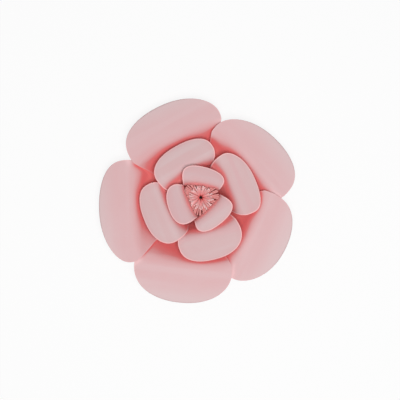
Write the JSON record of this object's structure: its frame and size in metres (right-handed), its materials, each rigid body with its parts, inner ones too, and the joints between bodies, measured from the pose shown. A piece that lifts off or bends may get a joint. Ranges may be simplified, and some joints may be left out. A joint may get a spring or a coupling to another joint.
{
  "type": "giant paper flower",
  "caption": "Giant paper flower: rings of curled card petals overlap like a pinwheel round a fringed, rolled centre, glued on a round back card that lies flat.",
  "frame": {"origin": "centre of the back card's flat back face, which the flower rests on", "axes": "+Z points out of the flower's face, +Y to the top of the flower in the picture and +X to its right"},
  "size_m": [0.2957, 0.3091, 0.0697],
  "materials": {
    "petal_card": "matte pink card",
    "fringe_card": "matte pink card",
    "back_board": "matte pink board"
  },
  "bodies": {
    "root": {"back_card": "back_board", "outer_petal_1": "petal_card", "outer_petal_2": "petal_card", "outer_petal_3": "petal_card", "outer_petal_4": "petal_card", "outer_petal_5": "petal_card", "middle_petal_1": "petal_card", "middle_petal_2": "petal_card", "middle_petal_3": "petal_card", "middle_petal_4": "petal_card", "inner_petal_1": "petal_card", "inner_petal_2": "petal_card", "inner_petal_3": "petal_card", "fringed_centre": "fringe_card"}
  },
  "joints": []
}
